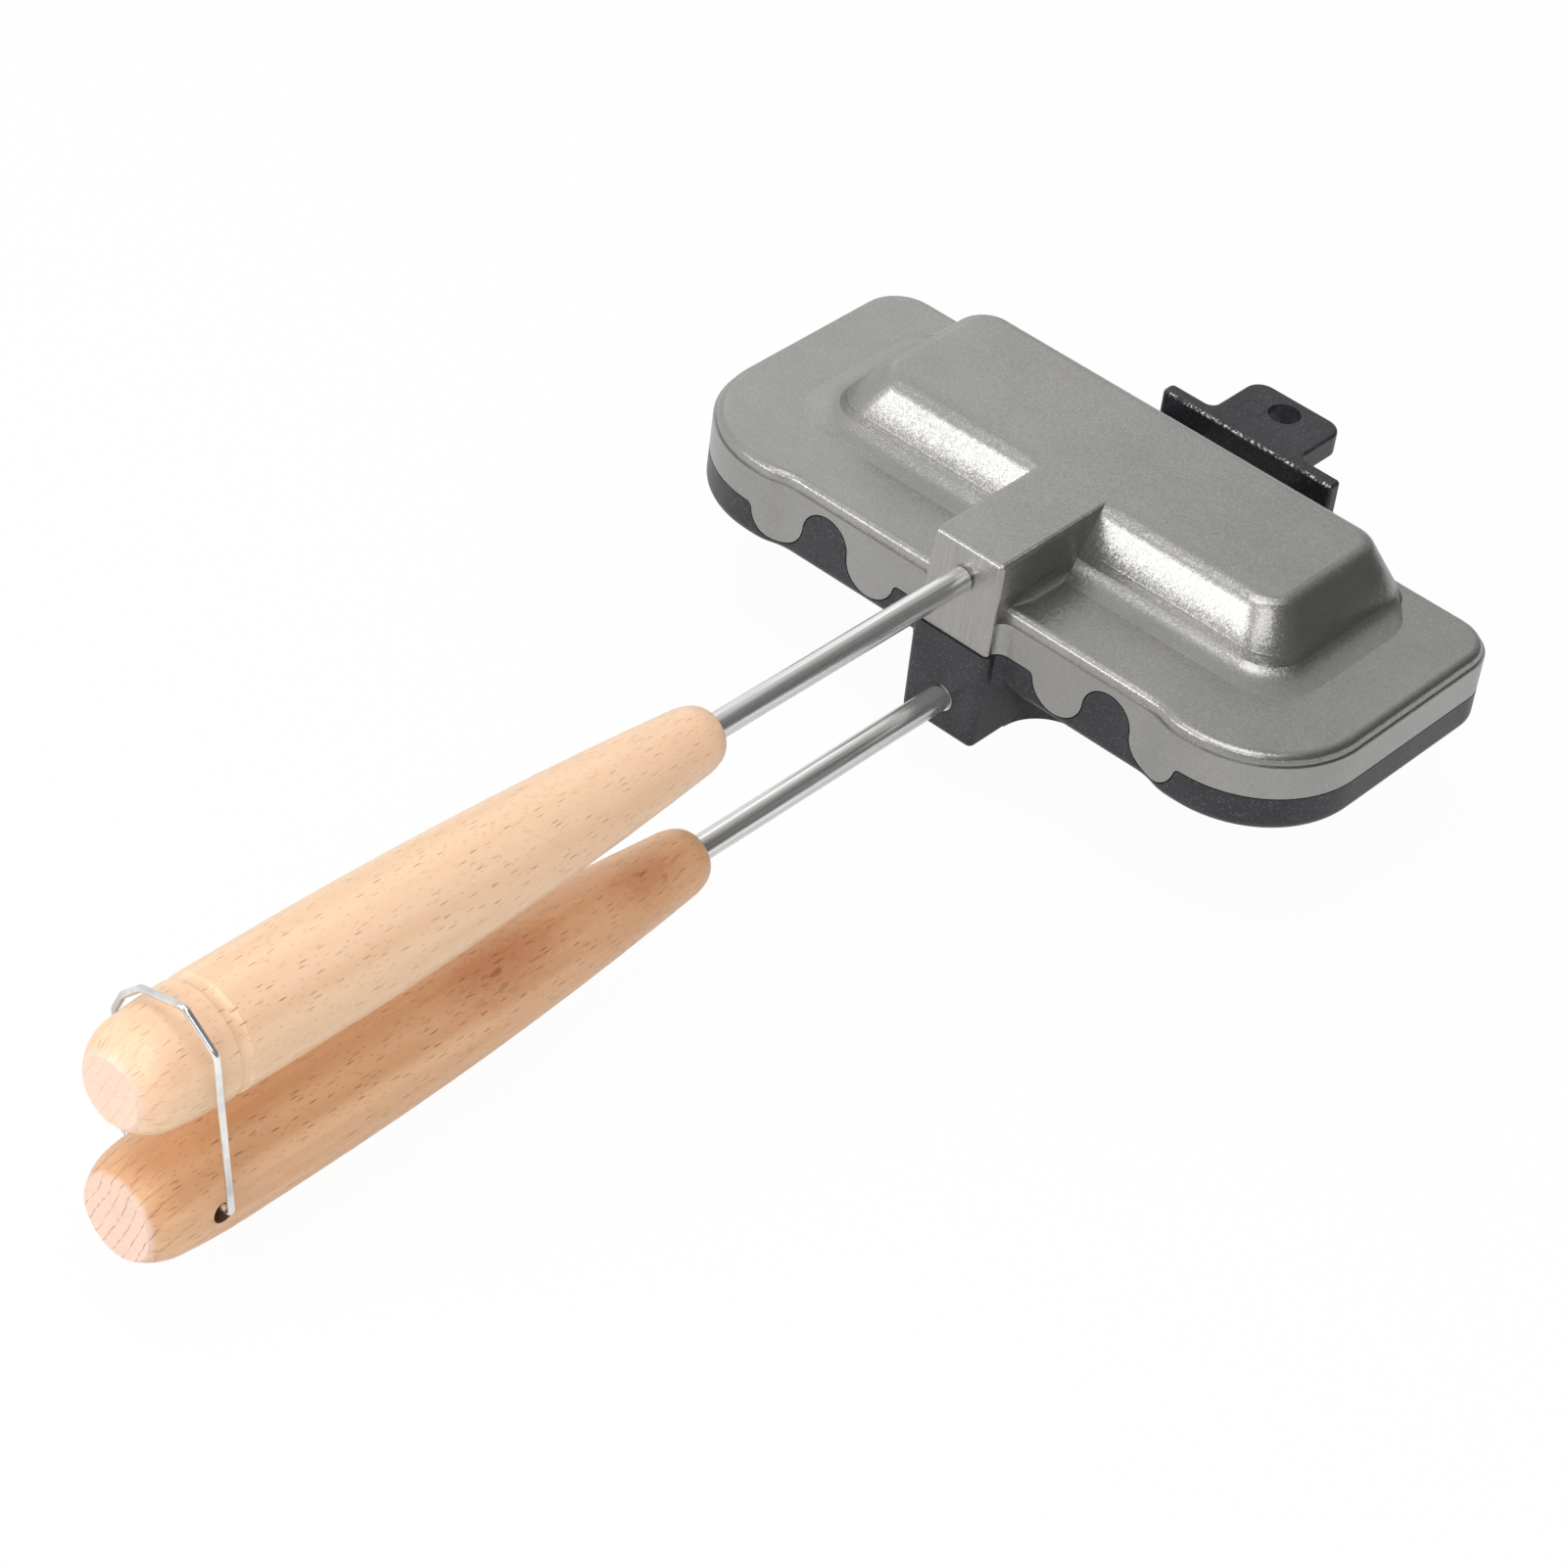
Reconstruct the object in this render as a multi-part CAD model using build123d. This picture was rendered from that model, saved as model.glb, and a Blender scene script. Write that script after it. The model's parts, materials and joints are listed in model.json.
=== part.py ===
from build123d import *
import os

# A double-sided toaster pan: two cast halves that close on a sandwich, each with a steel rod and a
# turned grip. X runs along the pan, -Y towards the hands, +Z up. The origin is the middle of the flat
# underside; the forms are drawn from the parting line, and each piece is lifted by PARTING at the end.

# Heights
PARTING = 26.0  # where the two halves meet
UPPER_TOP = 24.0  # flat top of the upper half above the parting line
LOWER_TOP = 26.0  # flat underside of the lower half below it
UPPER_FLANGE = 11.1  # outside of the flange round the raised middle
LOWER_FLANGE = 9.3
LEDGE_HEIGHT = 8.6  # small step round the upper half
LEDGE = 0.6
UPPER_SHOULDER, LOWER_SHOULDER = 2.4, 2.8  # rounded edge of the flange
GAP = 0.3  # air between the two castings
WALL = 3.0

# Rim seen from above
HALF_LENGTH = 89.7
NEAR, FAR = -39.0, 39.8
CORNER_OUT = 1.8  # the near corners stand this much further out
S_START, S_END = 50.5, 60.5
NEAR_R, FAR_R = 27.0, 11.0

# Raised middle: half length, near side, far side and corner radius at its foot and at its top
FOOT_X, FOOT_NEAR, FOOT_FAR, FOOT_R = 67.5, -15.5, 37.4, 10.0
TOP_X, TOP_NEAR, TOP_FAR, TOP_R = 58.0, -7.0, 33.0, 8.0
TOP_EDGE, COVE_WIDE, COVE_HIGH = 4.4, 5.0, 4.5

# Boss that takes the rod
BOSS_FRONT, BOSS_DRAFT = -43.0, 1.4
LOWER_GROW = 0.5  # the lower boss is this much bigger in front and at its sides, and has no draft in front
BOSS_WIDTH, BOSS_TOP_WIDTH = 20.5, 19.6
UPPER_BOSS_EDGE, LOWER_BOSS_EDGE = 1.1, 1.7
BOSS_COVE, BOSS_FOOT = 3.0, 2.5
BOSS_WEB, WEB_FRONT = 12.0, -31.0  # cove radius and front of the webs beside the lower boss

# Waves along the near side: big lobes hang from the upper half, small ones rise between them
WAVE_PITCH = 13.65
BIG_LOBE, SMALL_LOBE = 7.1, 6.55
WAVE_CORNER = 1.5

# Hinge: a hook of the upper half turns under the bar of the lower half
BAR_NEAR, BAR_FAR, BAR_X, BAR_TOP = 62.35, 66.45, 25.1, 4.7
HOOK_X, WINDOW_X = 13.0, 14.0
HOOK_THICK, HOOK_FIT = 3.5, 0.3
ARM_LOW, ARM_HIGH = -9.8, -3.0
TAB_X, TAB_END, TAB_LOW, TAB_CORNER, TAB_COVE = 13.0, 84.0, -1.1, 4.5, 2.2
HOLE_Y, HOLE_R = 77.2, 4.0
BAR_CORNER, BAR_EDGE = 1.2, 0.8

# Rods and grips
ROD_R, ROD_IN_BOSS, ROD_SHOWN, ROD_IN_GRIP = 3.0, 28.0, 81.3, 60.0
UPPER_ROD_Z, LOWER_ROD_Z = 15.9, -16.8
UPPER_TILT = -0.55  # the upper rod rises a little towards the hands
GRIP_FACE_R, GRIP_NECK, GRIP_NECK_R = 4.2, 5.6, 7.75
GRIP_BELLY, TAPER_STEPS = 122.0, 9
DOME_LENGTH, DOME_BEND, DOME_DROP, DOME_STEPS = 24.0, 8.0, 0.9, 4
UPPER_LENGTH, UPPER_BELLY_R, UPPER_END_R = 165.2, 13.0, 7.6
LOWER_LENGTH, LOWER_BELLY_R, LOWER_END_R = 162.7, 13.4, 9.2
GROOVE_AT, GROOVE_WIDTH, GROOVE_DEPTH = 142.0, 3.4, 0.5

# Latch wire
WIRE_R, WIRE_Y, WIRE_Z = 0.8, -271.3, -14.4
WIRE_HOLE_R, WIRE_PLAY = 2.3, 0.05
LATCH_LEAN = 6.5
LATCH_X, LATCH_FOOT_X, LATCH_END = 14.3, 15.2, 5.5


def rim_outline(inset=0.0):
    """Rim seen from above: straight near side, a small S out to the wide near corners, tight far corners."""
    corner = NEAR - CORNER_OUT
    halfway = ((S_START + S_END) / 2, (NEAR + corner) / 2)
    side = [Line((0, NEAR), (S_START, NEAR))]
    side.append(TangentArc((S_START, NEAR), halfway, tangent=(1, 0)))
    side.append(TangentArc(halfway, (S_END, corner), tangent=side[-1] % 1))
    side.append(Line((S_END, corner), (HALF_LENGTH - NEAR_R, corner)))
    side.append(JernArc(side[-1] @ 1, (1, 0), NEAR_R, 90))
    side.append(Line(side[-1] @ 1, (HALF_LENGTH, FAR - FAR_R)))
    side.append(JernArc(side[-1] @ 1, (0, 1), FAR_R, 90))
    side.append(Line(side[-1] @ 1, (0, FAR)))
    outline = make_face(Curve() + side + [mirror(edge, Plane.YZ) for edge in side])
    return offset(outline, -inset) if inset else outline


def middle_section(z, flange, top, inset=0.0):
    """Rounded rectangle of the raised middle at one height, its walls leaning in from flange to top."""
    t = (z - flange) / (top - flange)
    half = FOOT_X + (TOP_X - FOOT_X) * t - inset
    near = FOOT_NEAR + (TOP_NEAR - FOOT_NEAR) * t + inset
    far = FOOT_FAR + (TOP_FAR - FOOT_FAR) * t - abs(inset)
    radius = FOOT_R + (TOP_R - FOOT_R) * t - inset / 2
    return Pos(0, (near + far) / 2, z) * RectangleRounded(2 * half, far - near, radius)


def middle_cove(flange, top):
    """Hollow curve from the flange up into the near, left and right walls of the raised middle."""
    steps = (-0.03, 0.0, 0.05, 0.12, 0.25, 0.45, 0.7, 1.0)
    sections = []
    for s in steps:
        inset = 0.06 - COVE_WIDE * (1 - s)**6
        sections.append(middle_section(flange + COVE_HIGH * s, flange, top, inset))
    return loft(sections)


def boss(top, edge, draft, grow):
    """Drafted block in front of the raised middle, its corners rounded by edge."""
    back = 2.0
    foot = BOSS_FRONT - grow
    low = Pos(0, (foot + back) / 2, 0) * Rectangle(BOSS_WIDTH + 2 * grow, back - foot)
    front = foot + draft
    high = Pos(0, (front + back) / 2, top) * Rectangle(BOSS_TOP_WIDTH + 2 * grow, back - front)
    block = loft([low, high])
    corners = [e for e in block.edges() if e.center().Y < back - 1 and e.center().Z > 1]
    return fillet(corners, edge)


def boss_corner(side):
    """Upright cove where the side of the boss meets the skirt."""
    centre = (side * (BOSS_WIDTH / 2 - 0.1 + BOSS_COVE), NEAR - BOSS_COVE)
    size = BOSS_COVE + 0.6
    block = Pos(centre[0] - side * size / 2, centre[1] + size / 2) * Rectangle(size, size)
    return extrude(block - Pos(*centre) * Circle(BOSS_COVE), LEDGE_HEIGHT)


def boss_foot(side, flange, shoulder):
    """Cove along the foot of the boss on the flange, fading out where the flange rounds off."""
    def section(y, radius):
        size = radius + 0.6
        centre = (side * (BOSS_WIDTH / 2 - 0.3 + radius), flange + radius)
        block = Pos(centre[0] - side * size / 2, centre[1] - size / 2) * Rectangle(size, size)
        return Plane((0, y, 0), x_dir=(1, 0, 0), z_dir=(0, -1, 0)) * (block - Pos(*centre) * Circle(radius))
    front = NEAR + shoulder + 0.6
    straight = extrude(section(front + 5, BOSS_FOOT), -(FOOT_NEAR + 3 - front - 5))
    return straight + loft([section(front + 5, BOSS_FOOT), section(front, 0.5)])


def boss_web(side, top):
    """Upright cove of the lower half between the side of its boss and the raised middle."""
    edge = side * (BOSS_TOP_WIDTH / 2 - 1)
    out = side * (BOSS_TOP_WIDTH / 2 + BOSS_WEB)
    block = make_face(Polyline((edge, WEB_FRONT), (out, WEB_FRONT), (out, -4), (edge, -4), close=True))
    return extrude(block - Pos(out, WEB_FRONT) * Circle(BOSS_WEB), top)


def casting(top, flange, ledge, shoulder, boss_edge, draft, grow):
    """One half lying on the parting line with its outside up, its skirt left long for the waves."""
    long = BIG_LOBE + 1
    crown = extrude(rim_outline(ledge), flange)
    form = fillet(crown.edges().group_by(Axis.Z)[-1], shoulder)
    middle = loft([middle_section(flange - 1, flange, top), middle_section(top, flange, top)])
    form += fillet(middle.edges().group_by(Axis.Z)[-1], TOP_EDGE)
    form += middle_cove(flange, top)
    form += Pos(0, 0, -long) * extrude(rim_outline(), (LEDGE_HEIGHT if ledge else 1) + long)
    form += boss(top, boss_edge, draft, grow)
    for side in (-1, 1):
        form += boss_corner(side)
        form += boss_foot(side, flange, shoulder)
        if not ledge:
            form += boss_web(side, top)
    hollow = Pos(0, 0, -long - 1) * extrude(rim_outline(WALL), flange - WALL + long + 1)
    hollow += loft([middle_section(flange - WALL - 1, flange, top, WALL),
                    middle_section(top - WALL, flange, top, WALL)])
    return form - hollow


def above_waves(grow):
    """Space of the upper half, grown by a little: waves on the near side, flat elsewhere."""
    first, last = 2 * WAVE_PITCH - BIG_LOBE, 4 * WAVE_PITCH + BIG_LOBE
    x1, x2 = 2 * WAVE_PITCH + BIG_LOBE, 4 * WAVE_PITCH - BIG_LOBE
    side = [Line((0, 0), (first, 0)),
            ThreePointArc((first, 0), (2 * WAVE_PITCH, -BIG_LOBE), (x1, 0)),
            ThreePointArc((x1, 0), (3 * WAVE_PITCH, SMALL_LOBE), (x2, 0)),
            ThreePointArc((x2, 0), (4 * WAVE_PITCH, -BIG_LOBE), (last, 0)),
            Line((last, 0), (110, 0)), Line((110, 0), (110, 40)), Line((110, 40), (0, 40))]
    profile = make_face(Curve() + side + [mirror(edge, Plane.YZ) for edge in side])
    corners = [v for v in profile.vertices() if abs(abs(v.X) - first) < 0.01 or abs(abs(v.X) - last) < 0.01]
    profile = offset(fillet(corners, WAVE_CORNER), grow)
    near = extrude(Plane.XZ * profile, -20)
    return Pos(0, -50, 0) * near + Pos(0, 20, 20 - grow) * Box(220, 100, 40)


def hook():
    """The upper half's hinge: a neck down the far side, an arm outwards and a curl under the bar."""
    y, z = (BAR_NEAR + BAR_FAR) / 2, bar_round_z()
    inner = (BAR_FAR - BAR_NEAR) / 2 + HOOK_FIT
    outer = inner + HOOK_THICK
    arm_top, arm_low = z - inner, z - outer
    neck, back = FAR + 0.6, FAR + 4.2
    outline = Polyline((FAR - 1, 6), (back, 6), (back, arm_top), (y, arm_top), (y, arm_low),
                       (neck, arm_low), (neck, GAP / 2), (FAR - 1, GAP / 2), (FAR - 1, 6))
    face = make_face(outline)
    at = {(back, 6): 2.5, (back, arm_top): 2.5, (neck, arm_low): 2.5}
    for (py, pz), radius in at.items():
        face = fillet(face.vertices().sort_by_distance((py, pz))[0], radius)
    curl = Circle(outer) - Circle(inner)
    curl -= Pos(0, 30 - 0.8) * Rectangle(60, 60)
    curl -= Pos(-30, 0) * Rectangle(60, 60)
    face += Pos(y, z) * curl
    return extrude(Plane.YZ * face, HOOK_X, both=True)


def bar_round_z():
    """Height of the centre of the bar's round underside, the hinge axis."""
    return TAB_LOW + 0.35


def bracket():
    """The lower half's hinge: two arms, the bar across them and the tab with the hanging hole."""
    bar_y, bar_t = (BAR_NEAR + BAR_FAR) / 2, BAR_FAR - BAR_NEAR
    bar = Rectangle(2 * BAR_X, bar_t)
    bar = Pos(0, bar_y) * fillet(bar.vertices(), BAR_CORNER)
    tab = Pos(0, (bar_y + TAB_END) / 2) * Rectangle(2 * TAB_X, TAB_END - bar_y)
    top = bar + fillet(tab.vertices().group_by(Axis.Y)[-1], TAB_CORNER)
    roots = [v for v in top.vertices() if abs(v.Y - BAR_FAR) < 0.01 and abs(abs(v.X) - TAB_X) < 0.1]
    form = extrude(fillet(roots, TAB_COVE), BAR_TOP - TAB_LOW)
    form = Pos(0, 0, TAB_LOW) * fillet(form.edges().group_by(Axis.Z)[-1], BAR_EDGE)
    form -= Pos(0, HOLE_Y, 0) * Cylinder(HOLE_R, 20)
    z = bar_round_z()
    form += Pos(0, bar_y, z) * Rot(0, 90, 0) * Cylinder(bar_t / 2, 2 * WINDOW_X + 1)
    window = Pos(0, 60) * Rectangle(2 * WINDOW_X, 60)
    form += Pos(0, 0, ARM_LOW) * extrude(bar - window, -ARM_LOW)
    arms = Pos(0, (FAR - 1 + bar_y) / 2) * Rectangle(2 * BAR_X, bar_y - FAR + 1) - window
    return form + Pos(0, 0, ARM_LOW) * extrude(arms, ARM_HIGH - ARM_LOW)


def rod_place(z, tilt):
    """Where a rod leaves its boss, in the direction of the rod."""
    return Pos(0, BOSS_FRONT, z) * Rot(tilt, 0, 0)


def rod_bore(place):
    """Hole for the rod in the boss."""
    bore = Pos(0, ROD_IN_BOSS / 2 - 1, 0) * Rot(90, 0, 0) * Cylinder(ROD_R, ROD_IN_BOSS + 2)
    return place * bore


def rod(place):
    """Plain steel rod with broken ends."""
    length = ROD_IN_BOSS + ROD_SHOWN + ROD_IN_GRIP
    bar = Cylinder(ROD_R, length)
    bar = chamfer(bar.edges().filter_by(GeomType.CIRCLE), 0.5)
    return place * Pos(0, ROD_IN_BOSS - length / 2, 0) * Rot(90, 0, 0) * bar


def grip(place, length, belly_r, end_r, cut=None):
    """Turned grip bored for the rod: small rounded face, swelling taper, dome with a flat end."""
    nose = Bezier((0, GRIP_FACE_R), (0, GRIP_NECK_R - 1.5), (2.3, GRIP_NECK_R - 0.5), (GRIP_NECK, GRIP_NECK_R))
    curve = [nose @ 1]
    for k in range(TAPER_STEPS):
        t = (k + 1) / TAPER_STEPS
        along = GRIP_NECK + (GRIP_BELLY - GRIP_NECK) * t
        curve.append((along, belly_r - (belly_r - GRIP_NECK_R) * (1 - t)**2))
    for k in range(DOME_STEPS + 1):
        t = k / DOME_STEPS
        along = length - DOME_LENGTH + (DOME_LENGTH - DOME_BEND) * t
        curve.append((along, belly_r - DOME_DROP * t**2))
    belly = Polyline(*curve)
    dome = TangentArc(belly @ 1, (length, end_r), tangent=(DOME_LENGTH - DOME_BEND, -2 * DOME_DROP))
    profile = make_face(Curve() + [Line((0, 0), (0, GRIP_FACE_R)), nose, belly, dome,
                                   Line((length, end_r), (length, 0)), Line((length, 0), (0, 0))])
    if cut:
        profile -= cut
    wood = revolve(profile, Axis.X)
    wood -= Pos(ROD_IN_GRIP / 2, 0, 0) * Rot(0, 90, 0) * Cylinder(ROD_R, ROD_IN_GRIP)
    return place * Pos(0, -ROD_SHOWN, 0) * Rot(0, 0, -90) * wood


def groove():
    """Circle that cuts the shallow turned groove out of the upper grip's profile."""
    radius = (GROOVE_WIDTH**2 / 4 + GROOVE_DEPTH**2) / (2 * GROOVE_DEPTH)
    return Pos(GROOVE_AT, UPPER_BELLY_R - GROOVE_DEPTH + radius) * Circle(radius)


def latch():
    """Bent wire: two ends turned in, two legs, and a bow that was bent by hand and sits askew."""
    path = FilletPolyline((-LATCH_END, 0), (-LATCH_FOOT_X, 0), (-LATCH_X, 35.8), (-11.5, 41.6), (-6, 47.5),
                          (6.2, 51.4), (LATCH_X, 44.2), (LATCH_FOOT_X, 0), (LATCH_END, 0),
                          radius=[1.4, 4, 4, 3, 2.5, 3, 1.4])
    path = Plane.XZ * path
    section = Plane(path @ 0, z_dir=path % 0) * Circle(WIRE_R)
    return Pos(0, WIRE_Y, WIRE_Z) * Rot(LATCH_LEAN, 0, 0) * sweep(section, path)


upper_place = rod_place(UPPER_ROD_Z, UPPER_TILT)
lower_place = rod_place(LOWER_ROD_Z, 0)

upper_shell = casting(UPPER_TOP, UPPER_FLANGE, LEDGE, UPPER_SHOULDER, UPPER_BOSS_EDGE, BOSS_DRAFT, 0.0)
upper_shell = upper_shell & above_waves(-GAP / 2)
upper_shell = upper_shell + hook() - rod_bore(upper_place)

lower_shell = casting(LOWER_TOP, LOWER_FLANGE, 0.0, LOWER_SHOULDER, LOWER_BOSS_EDGE, 0.0, LOWER_GROW)
lower_shell = mirror(lower_shell, Plane.XY) - above_waves(GAP / 2)
lower_shell = lower_shell + bracket() - rod_bore(lower_place)

hole_z = WIRE_Z + WIRE_R + WIRE_PLAY - WIRE_HOLE_R  # the wire hangs from the top of its hole
wire_hole = Pos(0, WIRE_Y, hole_z) * Rot(0, 90, 0) * Cylinder(WIRE_HOLE_R, 40)

pieces = {
    "upper_shell": upper_shell,
    "lower_shell": lower_shell,
    "upper_rod": rod(upper_place),
    "lower_rod": rod(lower_place),
    "upper_grip": grip(upper_place, UPPER_LENGTH, UPPER_BELLY_R, UPPER_END_R, groove()),
    "lower_grip": grip(lower_place, LOWER_LENGTH, LOWER_BELLY_R, LOWER_END_R) - wire_hole,
    "latch_bail": latch(),
}

os.makedirs("parts", exist_ok=True)
for name, piece in pieces.items():
    export_step(Pos(0, 0, PARTING) * piece, f"parts/{name}.step")
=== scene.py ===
import json
from math import radians
from types import SimpleNamespace

import bpy
import numpy as np
from mathutils import Matrix, Vector


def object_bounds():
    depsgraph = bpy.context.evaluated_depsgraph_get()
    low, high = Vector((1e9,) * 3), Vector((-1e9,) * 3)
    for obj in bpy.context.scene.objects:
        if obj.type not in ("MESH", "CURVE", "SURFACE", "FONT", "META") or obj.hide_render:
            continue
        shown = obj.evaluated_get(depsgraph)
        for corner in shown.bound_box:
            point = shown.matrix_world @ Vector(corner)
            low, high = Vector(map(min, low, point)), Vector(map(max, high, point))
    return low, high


# The toaster pan in metres, in the frame of its solids: +X along the pan, -Y towards the hands, +Z up,
# measured from the middle of the flat underside. The solids have all its shapes. This script adds the
# finishes, the floor, the light and the camera.
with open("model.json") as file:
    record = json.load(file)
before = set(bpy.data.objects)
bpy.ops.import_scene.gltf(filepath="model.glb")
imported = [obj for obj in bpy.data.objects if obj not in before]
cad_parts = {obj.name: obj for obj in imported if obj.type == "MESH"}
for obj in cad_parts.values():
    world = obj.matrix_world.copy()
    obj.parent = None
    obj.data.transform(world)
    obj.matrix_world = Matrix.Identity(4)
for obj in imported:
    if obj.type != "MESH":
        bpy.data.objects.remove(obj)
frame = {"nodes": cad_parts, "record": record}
solids_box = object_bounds()

# Camera: position, direction in degrees, lens and film width in mm, measured on the photograph
CAMERA_AT = Vector((0.48799, -0.74314, 0.68262))
CAMERA_TURN, CAMERA_TILT, CAMERA_ROLL = 37.013, 39.569, 7.883
CAMERA_LENS, CAMERA_FILM = 112.43, 36

# Bosses: half the width, the front, and where each rod comes out of its own
BOSS_HALF_X = 0.0098
BOSS_FRONT_Y = -0.0430
UPPER_BOSS_Y, LOWER_BOSS_Y = -0.0421, -0.0435

# Raised middle of the upper half: foot and top, and the end and near side of the top
RAISED_FOOT_Z, RAISED_TOP_Z = 0.0371, 0.0500
RAISED_END_X, RAISED_NEAR_Y = 0.0580, -0.0070

# Hinge bar and tab of the lower half: near side and top of the bar, and the round mark on the tab
BAR_NEAR_Y, BAR_TOP_Z = 0.06235, 0.0307
MARK_X, MARK_Y, MARK_R = -0.0061, 0.0730, 0.0031

# Rods: middle line of the lower one, and the ring of bare metal that the drill left round it
LOWER_AXIS_Z = 0.0092
BARE_RING_R = 0.0032
RING_WIDE = 0.0003  # where a drawn ring has faded out, to each side of its line

# Grips: a middling radius, which the grain is laid round, and the growth rings that their ends cut: where
# the pith lies beside the middle line, and the width of a year
GRIP_R = 0.0125
PITH_X, PITH_Z = -0.050, 0.022
YEAR_WIDE = 0.0025

# Floor: a disk to the near left of the pan, low enough for the latch wire folded right back
FLOOR_AT, FLOOR_R, FLOOR_DROP = (-0.55, -0.85), 1.45, 0.0100
FLOOR_SIDES = 96

# Soft boxes, each turned to the middle of the pan: place, width, height and watts
PAN_MIDDLE = Vector((0, -0.08, 0.03))
SOFT_BOXES = {
    "soft_near_left": ((-0.66, -1.55, 0.80), 0.8, 0.7, 9.4),
    "soft_far_left": ((-0.55, 0.45, 0.5), 0.5, 0.45, 0.25),
    "soft_top": ((0.0, -0.45, 1.7), 1.2, 1.0, 12),
    "soft_front": ((0.75, -1.35, 1.0), 0.8, 0.8, 7),
}


def rgb(red, green, blue):
    """A colour as seen on screen, 0 to 255, as the shader wants it."""
    parts = [c / 255 for c in (red, green, blue)]
    return tuple(c / 12.92 if c <= 0.04045 else ((c + 0.055) / 1.055) ** 2.4 for c in parts) + (1.0,)


WHITE = (1, 1, 1, 1)

# The two grips: middle line, far end, tones of the wood, share of long flecks and strength of the growth
# rings on the end, stains as places and sizes, and the cross hole for the latch wire, its bore painted dark
# as shade
UPPER_GRIP = SimpleNamespace(
    axis_z=0.0434, end_y=-0.2895, light=rgb(246, 212, 176), dark=rgb(238, 198, 158),
    flush=rgb(246, 198, 162), fleck=rgb(172, 110, 64), cut=rgb(238, 204, 184), flecks=0.8, rings=0.2,
    stains=(), shaded_bore=None,
)
LOWER_GRIP = SimpleNamespace(
    axis_z=LOWER_AXIS_Z, end_y=-0.2870, light=rgb(236, 193, 150), dark=rgb(216, 165, 120),
    flush=rgb(224, 162, 114), fleck=rgb(130, 72, 36), cut=rgb(236, 204, 186), flecks=0.95, rings=0.6,
    stains=(((0.006, -0.188, 0.010), 0.011), ((0.004, -0.145, 0.007), 0.007)),
    shaded_bore=SimpleNamespace(y=-0.2713, z=0.00095, radius=0.00234, fade=0.00008),
)


class Link:
    """An output socket. Arithmetic on it adds Math nodes to the same tree."""

    def __init__(self, finish, socket):
        self.finish, self.socket = finish, socket

    def math(self, operation, *others):
        return self.finish.node("ShaderNodeMath", [self, *others], operation=operation)

    def __add__(self, other):
        return self.math("ADD", other)

    def __radd__(self, other):
        return self.math("ADD", other)

    def __mul__(self, other):
        return self.math("MULTIPLY", other)

    def __rmul__(self, other):
        return self.math("MULTIPLY", other)

    def __sub__(self, other):
        return self.math("SUBTRACT", other)

    def __rsub__(self, other):
        return self.finish.node("ShaderNodeMath", [other, self], operation="SUBTRACT")

    def __pow__(self, other):
        return self.math("POWER", other)

    def __abs__(self):
        return self.math("ABSOLUTE")


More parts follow.
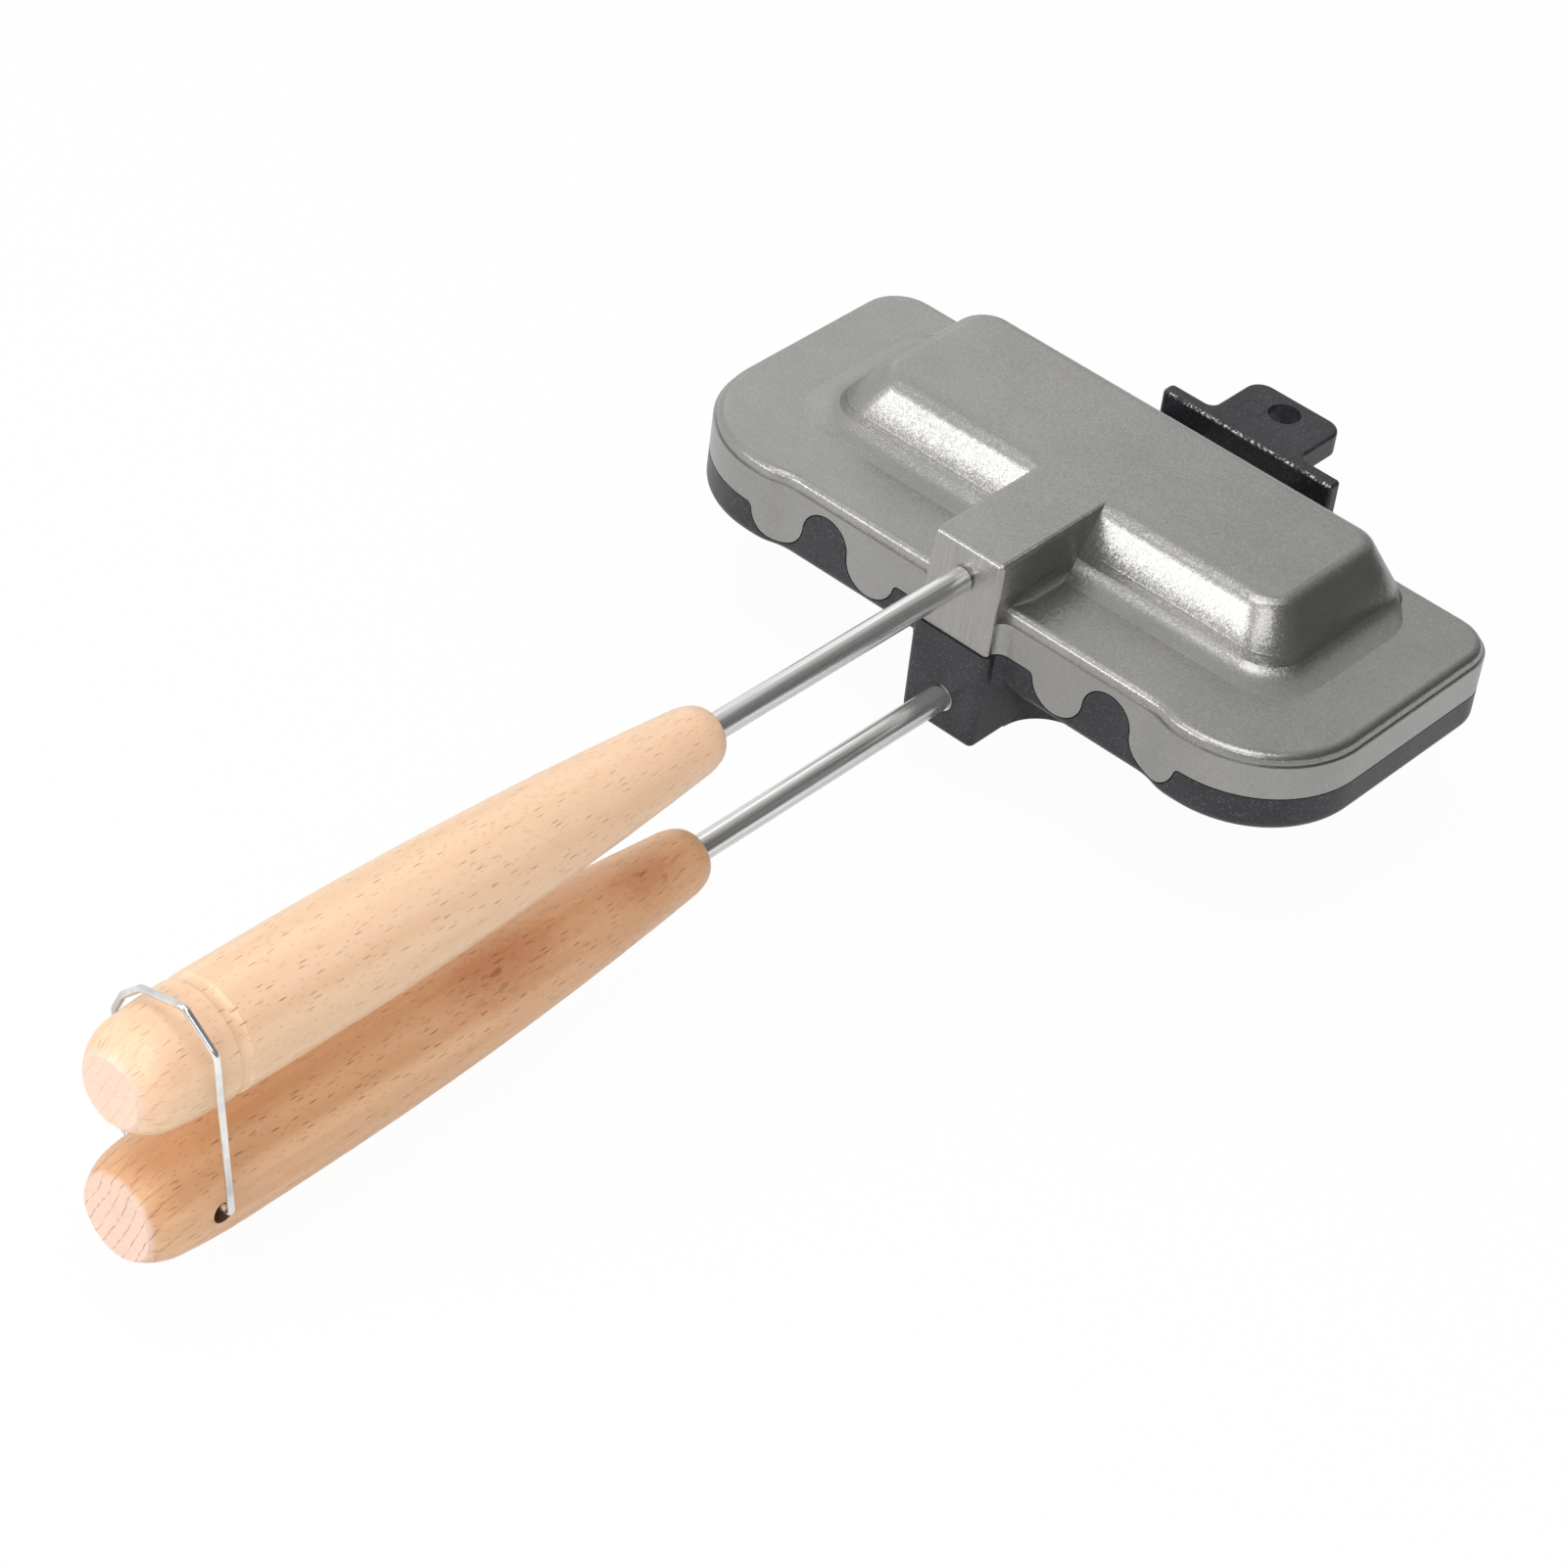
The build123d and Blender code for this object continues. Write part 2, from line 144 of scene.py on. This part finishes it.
class Finish:
    """The nodes of one material, or of the world. node() adds any node, the others common ones."""

    def __init__(self, owner):
        owner.use_nodes = True
        self.owner, self.tree = owner, owner.node_tree
        self.tree.nodes.clear()

    def node(self, kind, values=(), out=0, **settings):
        """Adds a node with its settings, then fills its sockets from values, in order or by name."""
        made = self.tree.nodes.new(kind)
        for key, setting in settings.items():
            setattr(made, key, setting)
        for key, value in (values.items() if isinstance(values, dict) else enumerate(values)):
            if isinstance(value, Link):
                self.tree.links.new(value.socket, made.inputs[key])
            elif value is not None:
                made.inputs[key].default_value = value
        return Link(self, made.outputs[out]) if made.outputs else None

    def vector(self, operation, *values, out=0):
        return self.node("ShaderNodeVectorMath", values, out=out, operation=operation)

    def join(self, *parts):
        """Vector of up to three parts."""
        return self.node("ShaderNodeCombineXYZ", parts)

    def apart(self, vector):
        """The three parts of a vector."""
        return [self.node("ShaderNodeSeparateXYZ", [vector], out=i) for i in range(3)]

    def place(self, centre=(0, 0, 0), scale=(1, 1, 1)):
        """Object coordinates, measured from centre and stretched by scale."""
        spot = self.node("ShaderNodeTexCoord", out="Object")
        return self.vector("MULTIPLY", self.vector("SUBTRACT", spot, centre), scale)

    def facing(self):
        """Direction the surface faces, in the piece's own axes."""
        return self.node("ShaderNodeTexCoord", out="Normal")

    def noise(self, vector, scale=1, detail=2.0, roughness=0.5, distortion=0.0):
        return self.node("ShaderNodeTexNoise", {"Vector": vector, "Scale": scale, "Detail": detail,
                                                "Roughness": roughness, "Distortion": distortion})

    def cells(self, vector, scale=1, out="Color", **settings):
        return self.node("ShaderNodeTexVoronoi", {"Vector": vector, "Scale": scale}, out=out, **settings)

    def spread(self, value, low, high, to_low=0.0, to_high=1.0, smooth=False):
        """value taken from low..high to to_low..to_high, kept inside that."""
        kind = "SMOOTHSTEP" if smooth else "LINEAR"
        sockets = {"Value": value, "From Min": low, "From Max": high, "To Min": to_low, "To Max": to_high}
        return self.node("ShaderNodeMapRange", sockets, interpolation_type=kind, clamp=True)

    def distance(self, across, up):
        """Distance from the place where both are 0."""
        return (across * across + up * up) ** 0.5

    def ring(self, across, up, radius):
        """1 on a circle round the place where both are 0, fading to 0 at RING_WIDE from it."""
        return self.spread(abs(self.distance(across, up) - radius), RING_WIDE, RING_WIDE * 0.4)

    def mix(self, share, first, second):
        """Colour between first and second."""
        return self.node("ShaderNodeMix", {0: share, 6: first, 7: second}, out=2, data_type="RGBA")

    def flakes(self, colours, tilt, facing):
        """Normal that leans a little, at random, in each cell: metal flakes as they lie in paint."""
        lean = self.vector("SUBTRACT", colours, (0.5, 0.5, 0.5))
        leant = self.vector("MULTIPLY_ADD", lean, (tilt,) * 3, facing)
        return self.node("ShaderNodeVectorTransform", [leant], vector_type="NORMAL", convert_from="OBJECT",
                         convert_to="WORLD")

    def bump(self, height, distance, strength, under=None):
        return self.node("ShaderNodeBump", {"Height": height, "Distance": distance, "Strength": strength,
                                            "Normal": under})

    def surface(self, **values):
        """The shader itself: names are its sockets with _ for a space."""
        named = {key.replace("_", " "): value for key, value in values.items()}
        self.node("ShaderNodeOutputMaterial", [self.node("ShaderNodeBsdfPrincipled", named)])
        return self.owner

    def ray(self, kind):
        """1 to rays of that kind."""
        return self.node("ShaderNodeLightPath", out=kind)


def new_finish(name):
    return Finish(bpy.data.materials.new(name))


def rounder_middle(coat, x, y, z):
    """Lean that shades the raised middle of the upper half rounder: bellied slopes, near corners that turn
    from one slope into the next, and a soft near edge of the top."""
    right, back, up = coat.apart(coat.facing())
    side, out = x.math("SIGN"), abs(x)
    slope = coat.spread(up, 0.30, 0.50, smooth=True) * coat.spread(up, 0.80, 0.62, smooth=True)
    belly = slope * coat.spread(z, RAISED_TOP_Z - 0.0035, RAISED_FOOT_Z + 0.0024, 0.0, 0.24, smooth=True)
    raised = coat.spread(z, RAISED_FOOT_Z + 0.0009, RAISED_FOOT_Z + 0.0039)
    corner = coat.spread(out, RAISED_END_X - 0.007, RAISED_END_X + 0.009, smooth=True)
    near_corner = coat.spread(y, RAISED_NEAR_Y + 0.015, RAISED_NEAR_Y - 0.007, smooth=True)
    on_near_slope = coat.spread(back, -0.2, -0.5) * raised
    on_end_slope = coat.spread(right * side, 0.2, 0.5) * raised
    on_top = coat.spread(up, 0.90, 0.97) * raised
    brow = coat.spread(y, RAISED_NEAR_Y + 0.009, RAISED_NEAR_Y + 0.001, smooth=True) * on_top
    brow = brow * coat.spread(out, BOSS_HALF_X + 0.0002, BOSS_HALF_X + 0.0032)
    to_side = side * corner * on_near_slope * 0.36
    to_hands = 0 - near_corner * on_end_slope * 0.4 - brow * 0.18
    return coat.join(to_side, to_hands, 0 - belly)


def upper_coat():
    """Silver-grey metallic coat: flakes that catch the light, soft clouds and a linished boss front."""
    coat = new_finish("upper_coat")
    spot = coat.place()
    x, y, z = coat.apart(spot)
    pale_speck, dark_speck, gloss = coat.apart(coat.cells(spot, 5200))
    clouds = coat.noise(spot, 38, 3, 0.6)
    tone = coat.mix(coat.spread(clouds, 0.3, 0.7), rgb(153, 152, 149), rgb(161, 160, 157))
    tone = coat.mix(coat.spread(pale_speck, 0.85, 1.0) * 0.35, tone, rgb(206, 204, 200))
    tone = coat.mix(coat.spread(dark_speck, 0.85, 1.0) * 0.3, tone, rgb(112, 110, 107))
    front = coat.spread(y, BOSS_FRONT_Y + 0.0020, BOSS_FRONT_Y + 0.0012)
    lines = coat.noise(coat.place(scale=(2600, 400, 50)), detail=2, roughness=0.6)
    tone = coat.mix(front * coat.spread(lines, 0.35, 0.75) * 0.3, tone, rgb(206, 205, 203))
    rounder = coat.vector("ADD", coat.facing(), rounder_middle(coat, x, y, z))
    sparkle = coat.flakes(coat.cells(spot, 2900), 0.11, rounder)
    grain = coat.bump(coat.noise(spot, 900, 2) + front * lines * 2, 0.00002, 0.5, sparkle)
    rough = coat.spread(gloss, 0, 1, 0.29, 0.38)
    return coat.surface(Base_Color=tone, Metallic=0.9, Roughness=rough, Normal=grain)


def lower_coat():
    """Charcoal coat on a pebbled casting: pale and dark specks, the bright ring where the drill broke it at
    the rod, a painted highlight of bright specks on the near edge of the hinge bar, and the plain round mark
    of a mould pin."""
    coat = new_finish("lower_coat")
    spot = coat.place()
    x, y, z = coat.apart(spot)
    pale_speck, dark_speck, lump = coat.apart(coat.cells(spot, 2800))
    clouds = coat.noise(spot, 60, 3)
    tone = coat.mix(coat.spread(clouds, 0.35, 0.7), rgb(40, 41, 44), rgb(52, 53, 57))
    tone = coat.mix(coat.spread(pale_speck, 0.84, 1.0) * 0.28, tone, rgb(128, 128, 132))
    tone = coat.mix(coat.spread(dark_speck, 0.82, 1.0) * 0.6, tone, rgb(20, 20, 22))
    front = coat.spread(y, BOSS_FRONT_Y + 0.0006, BOSS_FRONT_Y)
    drilled = coat.ring(x, z - LOWER_AXIS_Z, BARE_RING_R) * front * coat.spread(x, -0.0005, 0.0012)
    # Painted highlight: bright metal specks along the near top edge of the hinge bar, standing for the light
    # it catches
    edge = coat.spread(y, BAR_NEAR_Y - 0.00105, BAR_NEAR_Y - 0.00065)
    edge = edge * coat.spread(y, BAR_NEAR_Y + 0.00095, BAR_NEAR_Y + 0.00045)
    edge = edge * coat.spread(z, BAR_TOP_Z - 0.0008, BAR_TOP_Z - 0.0004)
    painted_glint = edge * coat.spread(coat.noise(spot, 1300, 2), 0.48, 0.62)
    # Bare metal at the drill ring, together with the painted highlight on the bar edge
    bare_and_glint = drilled + painted_glint * 0.7
    tone = coat.mix(bare_and_glint, tone, rgb(232, 232, 230))
    mark = coat.ring(x - MARK_X, y - MARK_Y, MARK_R) * coat.spread(z, BAR_TOP_Z - 0.0007, BAR_TOP_Z - 0.0003)
    tone = coat.mix(mark * 0.7, tone, rgb(26, 26, 28))
    pebbles = coat.bump(coat.noise(spot, 1500, 2) + lump * 0.4 - mark * 1.5, 0.00007, 0.7)
    metal = coat.spread(bare_and_glint, 0, 1, 0.25, 1.0)
    return coat.surface(Base_Color=tone, Metallic=metal, Roughness=0.38, Normal=pebbles)


def drawn_steel(name, roughness, grain):
    """Bright drawn steel with lines of that grain along it and a dark line where it enters its boss: painted
    shade for the gap there.
    """
    steel = new_finish(name)
    x, y, z = steel.apart(steel.place())
    lines = steel.noise(steel.place(scale=grain), detail=3, roughness=0.65)
    tone = steel.mix(steel.spread(lines, 0.35, 0.65), rgb(196, 195, 193), rgb(244, 243, 241))
    # Painted shade: a dark line round the rod at its boss, standing for the shadow in the gap between them
    boss_y = steel.spread(z, 0.020, 0.030, LOWER_BOSS_Y, UPPER_BOSS_Y)
    gap_shade = steel.spread(abs(y - boss_y + 0.0002), 0.0004, 0.0002)
    tone = steel.mix(gap_shade * 0.8, tone, rgb(40, 38, 36))
    rough = steel.spread(lines, 0.3, 0.7, roughness + 0.08, roughness - 0.04)
    scored = steel.bump(lines, 0.00004, 0.6)
    return steel.surface(Base_Color=tone, Metallic=0.86, Roughness=rough, Normal=scored)


def dashes(wood, rolled, across, along, thick, share):
    """Short dashes along the grain of the rolled-out grip, one to a cell of across by along, share of the
    cells filled."""
    cell = wood.vector("MULTIPLY", rolled, (1 / across, 1 / along, 1))
    far = wood.cells(cell, out="Distance", voronoi_dimensions="2D")
    drawn, strong, _ = wood.apart(wood.cells(cell, voronoi_dimensions="2D"))
    shape = wood.spread(far, thick, thick * 0.5)
    return shape * wood.spread(drawn, 1 - share, 1.05 - share) * wood.spread(strong, 0, 1, 0.4, 1.0)


def stain(wood, spot, place, size, grit):
    """Warm stain round place, drawn out along the grip, with a ragged edge."""
    off = wood.vector("MULTIPLY", wood.vector("SUBTRACT", spot, place), (1 / size, 0.4 / size, 1 / size))
    far = wood.vector("LENGTH", off, out="Value")
    return wood.spread(far + grit * 0.8, 1.35, 0.5, smooth=True)


def beech(name, grip):
    """Turned beech: soft bands, rows of short dark flecks, silky streaks, growth rings cut at the end, and
    painted shade in the bore of a cross hole.
    """
    wood = new_finish(name)
    centre = (0, 0, grip.axis_z)

    def streaks(across, along, detail, roughness=0.5, distortion=0.0):
        """Noise drawn out along the grip."""
        return wood.noise(wood.place(centre, (across, along, across)), 1, detail, roughness, distortion)

    spot = wood.place(centre)
    x, y, z = wood.apart(spot)
    rolled = wood.join(x.math("ARCTAN2", z) * GRIP_R, y)
    silk = streaks(900, 14, 2, 0.6)
    grit = streaks(500, 160, 2, 0.6)
    pores = dashes(wood, rolled, 0.0007, 0.0042, 0.17, 0.6)
    rows = wood.spread(streaks(260, 9, 1), 0.36, 0.48)
    flecks = dashes(wood, rolled, 0.0012, 0.0110, 0.125, grip.flecks) * rows
    tone = wood.mix(wood.spread(streaks(170, 5, 3, 0.55, 0.6), 0.36, 0.68), grip.light, grip.dark)
    tone = wood.mix(wood.spread(silk, 0.45, 0.75) * 0.25, tone, grip.dark)
    tone = wood.mix(wood.spread(streaks(22, 6, 2), 0.45, 0.7) * 0.6, tone, grip.flush)
    for place, size in grip.stains:
        warm = stain(wood, spot, place, size, grit)
        tone = wood.mix(warm * 0.55, tone, rgb(196, 118, 76))
        tone = wood.mix(warm * wood.spread(grit, 0.58, 0.66) * 0.6, tone, grip.fleck)
    tone = wood.mix(pores * 0.42, tone, grip.fleck)
    tone = wood.mix(flecks * 0.8, tone, grip.fleck)

    # Growth rings are circles round the pith, a little wavy, each a line in the middle of its year
    years = (wood.distance(x - PITH_X, z - PITH_Z) + streaks(150, 40, 3) * 0.0020) * (1 / YEAR_WIDE)
    ring = wood.spread(abs(years.math("FRACT") - 0.5), 0.1, 0.02) * wood.spread(grit, 0.4, 0.6, 0.15, 1.0)
    rings = ring * wood.spread(y, grip.end_y + 0.013, grip.end_y + 0.001) * grip.rings
    cut = wood.spread(y, grip.end_y + 0.0014, grip.end_y + 0.0004)
    grained = wood.spread(wood.cells(spot, 2400, "Distance"), 0.1, 0.5, 1.0, 0.8)
    tone = wood.mix(cut * grained, tone, grip.cut)
    tone = wood.mix(rings, tone, rgb(146, 88, 62))
    # Painted shade: the bore of the cross hole is painted dark brown, standing for the shade inside it
    if grip.shaded_bore:
        off = wood.distance(y - grip.shaded_bore.y, z - grip.shaded_bore.z)
        bore_shade = wood.spread(off, grip.shaded_bore.radius + grip.shaded_bore.fade, grip.shaded_bore.radius)
        tone = wood.mix(bore_shade * 0.85, tone, rgb(58, 34, 20))
    rough = wood.spread(silk, 0.3, 0.7, 0.36, 0.5)
    relief = wood.bump(silk * 0.4 - pores - flecks * 1.6 - rings, 0.00008, 0.6)
    return wood.surface(Base_Color=tone, Roughness=rough, Normal=relief, Specular_IOR_Level=0.5,
                        Coat_Weight=0.25, Coat_Roughness=0.3)


def dress():
    """Gives every solid the finish that its material slot names."""
    finishes = {
        "upper_coat": upper_coat(),
        "lower_coat": lower_coat(),
        "steel_rod": drawn_steel("drawn_steel", 0.2, (1500, 10, 1500)),
        "steel_wire": drawn_steel("bright_wire", 0.18, (60, 60, 60)),
        "upper_wood": beech("pale_beech", UPPER_GRIP),
        "lower_wood": beech("red_beech", LOWER_GRIP),
    }
    for part in frame["record"]["subparts"]:
        mesh = frame["nodes"][part["node"]].data
        mesh.materials.clear()
        mesh.materials.append(finishes[part["material_slot"]])


def add(name, data):
    """New object in the scene."""
    thing = bpy.data.objects.new(name, data)
    bpy.context.scene.collection.objects.link(thing)
    return thing


def lay_floor():
    """Disk of matt white paper that the camera sees as white with a trace of shadow."""
    turn = np.linspace(0, 2 * np.pi, FLOOR_SIDES, endpoint=False)
    level = np.full(FLOOR_SIDES, solids_box[0][2] - FLOOR_DROP)
    edge = [FLOOR_AT[0] + FLOOR_R * np.cos(turn), FLOOR_AT[1] + FLOOR_R * np.sin(turn), level]
    mesh = bpy.data.meshes.new("floor")
    mesh.from_pydata(np.stack(edge, axis=1).tolist(), [], [tuple(range(FLOOR_SIDES))])
    add("floor", mesh)
    paper = new_finish("paper")
    matt = paper.node("ShaderNodeBsdfDiffuse", {"Color": (0.86, 0.86, 0.86, 1)})
    white = paper.node("ShaderNodeEmission", {"Color": WHITE, "Strength": 1.0})
    share = paper.ray("Is Camera Ray") * 0.96 + paper.ray("Is Glossy Ray") * 0.35 \
        + paper.ray("Is Transmission Ray") * 0.96
    paper.node("ShaderNodeOutputMaterial", [paper.node("ShaderNodeMixShader", [share, matt, white])])
    mesh.materials.append(paper.owner)


def surround():
    """World: white to the camera, an even pale light on the pan, and in its reflections walls that are
    bright at the left and dark at the right."""
    world = bpy.data.worlds.new("studio")
    bpy.context.scene.world = world
    air = Finish(world)

    def glow(colour, strength):
        return air.node("ShaderNodeBackground", {"Color": colour, "Strength": strength})

    right = air.apart(air.node("ShaderNodeTexCoord", out="Generated"))[0]
    walls = glow(WHITE, air.spread(right, -0.6, 0.4, 0.88, 0.1))
    shown = glow((0.97, 0.98, 1, 1), 0.5)
    backdrop = glow(WHITE, 1.0)
    for kind, seen in (("Is Glossy Ray", walls), ("Is Transmission Ray", walls), ("Is Camera Ray", backdrop)):
        shown = air.node("ShaderNodeMixShader", [air.ray(kind), shown, seen])
    air.node("ShaderNodeOutputWorld", [shown])


def hang_soft_boxes():
    """The lamps of SOFT_BOXES, turned to the middle of the pan."""
    for name, (at, width, height, power) in SOFT_BOXES.items():
        light = bpy.data.lights.new(name, "AREA")
        light.shape, light.size, light.size_y, light.energy = "RECTANGLE", width, height, power
        lamp = add(name, light)
        lamp.location = at
        lamp.rotation_euler = (PAN_MIDDLE - Vector(at)).to_track_quat("-Z", "Y").to_euler()


def set_camera():
    """Camera at the photograph's viewpoint: turned about Z, tilted down, then rolled about its own view."""
    turned = Matrix.Rotation(radians(CAMERA_TURN), 3, "Z")
    across = turned @ Vector((1, 0, 0))
    ahead = turned @ Matrix.Rotation(radians(-CAMERA_TILT), 3, "X") @ Vector((0, 1, 0))
    above = across.cross(ahead)
    roll = Matrix.Rotation(radians(-CAMERA_ROLL), 3, ahead)
    axes = Matrix((roll @ across, roll @ above, -ahead)).transposed()
    camera = bpy.data.cameras.new("camera")
    camera.lens, camera.sensor_width = CAMERA_LENS, CAMERA_FILM
    camera.clip_start, camera.clip_end = 0.01, 50
    holder = add("camera", camera)
    holder.matrix_world = Matrix.Translation(CAMERA_AT) @ axes.to_4x4()
    bpy.context.scene.camera = holder
    bpy.context.scene.view_settings.view_transform = "Standard"


dress()
lay_floor()
surround()
hang_soft_boxes()
set_camera()
